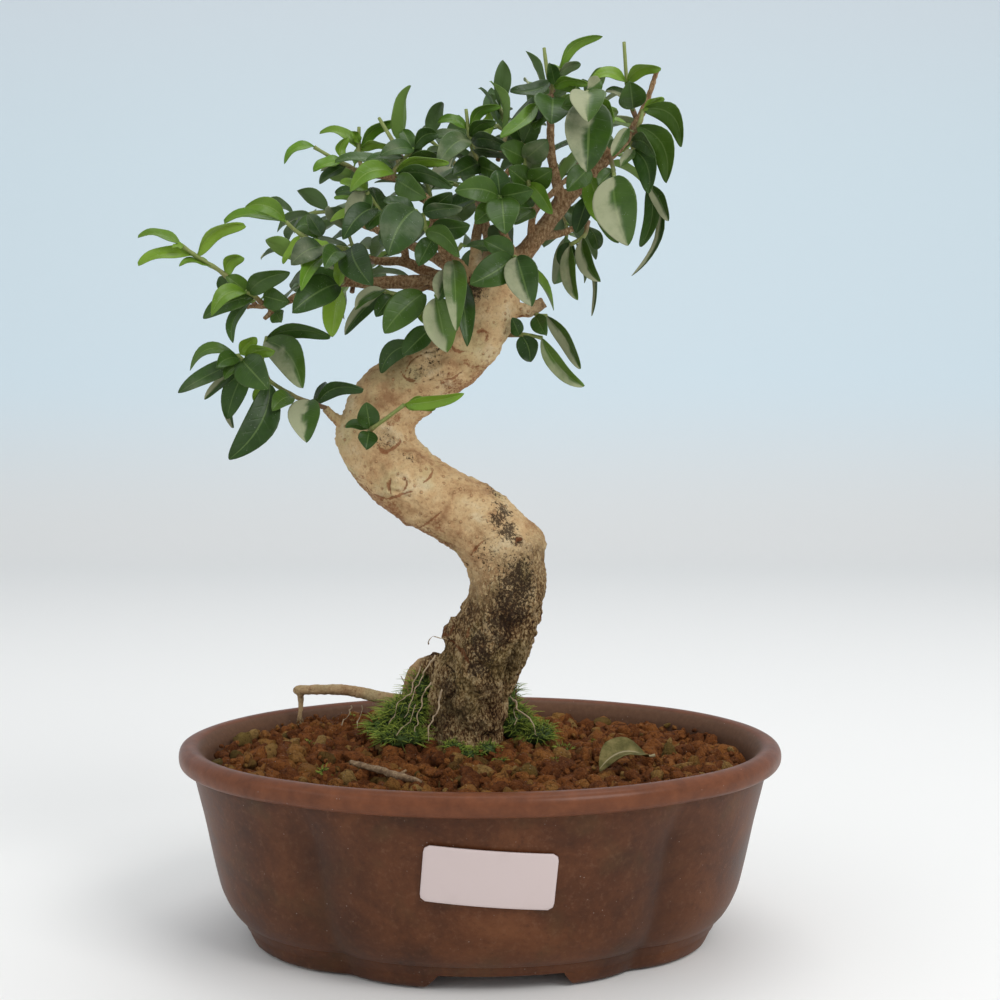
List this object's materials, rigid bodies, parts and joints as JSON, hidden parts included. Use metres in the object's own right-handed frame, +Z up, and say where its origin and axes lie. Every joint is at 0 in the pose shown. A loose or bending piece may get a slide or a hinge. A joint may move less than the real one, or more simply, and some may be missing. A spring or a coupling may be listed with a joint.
{
  "type": "privet bonsai",
  "caption": "Small privet trained as an S-shaped bonsai with a leafy crown, growing in red-brown granules in an oval glazed stoneware pot on corner feet.",
  "frame": {"origin": "middle of the whole's plan box, on the surface that the pot's feet stand on", "axes": "+Z up, -Y towards the side that the tree is looked at from, +X along the pot to the right of that view"},
  "size_m": [0.219, 0.167, 0.3134],
  "materials": {
    "glazed_clay": "brown mottled glaze with a redder, glossy lip",
    "mesh_plastic": "plain dark plastic net",
    "granules": "baked clay granules with moss between",
    "label_film": "white film, blank",
    "dead_wood": "dry twig",
    "dry_leaf": "dry leaf",
    "bark": "smooth pale bark, rough and flaked near the soil",
    "leaf": "waxy leaves, dark above with a dusty bloom, bright when young"
  },
  "bodies": {
    "root": {"pot": "glazed_clay", "drain_mesh_left": "mesh_plastic", "drain_mesh_right": "mesh_plastic", "soil": "granules", "label": "label_film", "fallen_twig": "dead_wood", "fallen_leaf": "dry_leaf", "trunk": "bark", "shoot_far_left": "leaf", "shoot_mid_left": "leaf", "shoot_left_upper": "leaf", "shoot_upper_left": "leaf", "shoot_upright_left": "leaf", "crown_left_top": "leaf", "crown_left_mid": "leaf", "crown_front_left": "leaf", "crown_low_left": "leaf", "crown_left_under": "leaf", "trunk_left_under": "leaf", "trunk_left_low": "leaf", "trunk_top_front": "leaf", "crown_mid_left": "leaf", "crown_mid": "leaf", "trunk_top_right": "leaf", "crown_mid_right": "leaf", "crown_right_mid": "leaf", "crown_top_mid": "leaf", "crown_top_right": "leaf", "crown_front_right": "leaf", "crown_tip": "leaf", "crown_far_right": "leaf", "crown_right_low": "leaf", "hanging_right": "leaf", "shoot_right_stub": "leaf", "shoot_trunk_right": "leaf", "shoot_on_trunk": "leaf", "shoots_low_left": "leaf", "back_left_outer": "leaf", "back_left_upper": "leaf", "back_left_low": "leaf", "back_mid": "leaf", "back_mid_low": "leaf", "back_mid_upper": "leaf", "back_top": "leaf", "back_right": "leaf", "back_right_low": "leaf", "back_right_top": "leaf", "inner_left": "leaf", "inner_mid": "leaf", "inner_right": "leaf"}
  },
  "joints": []
}
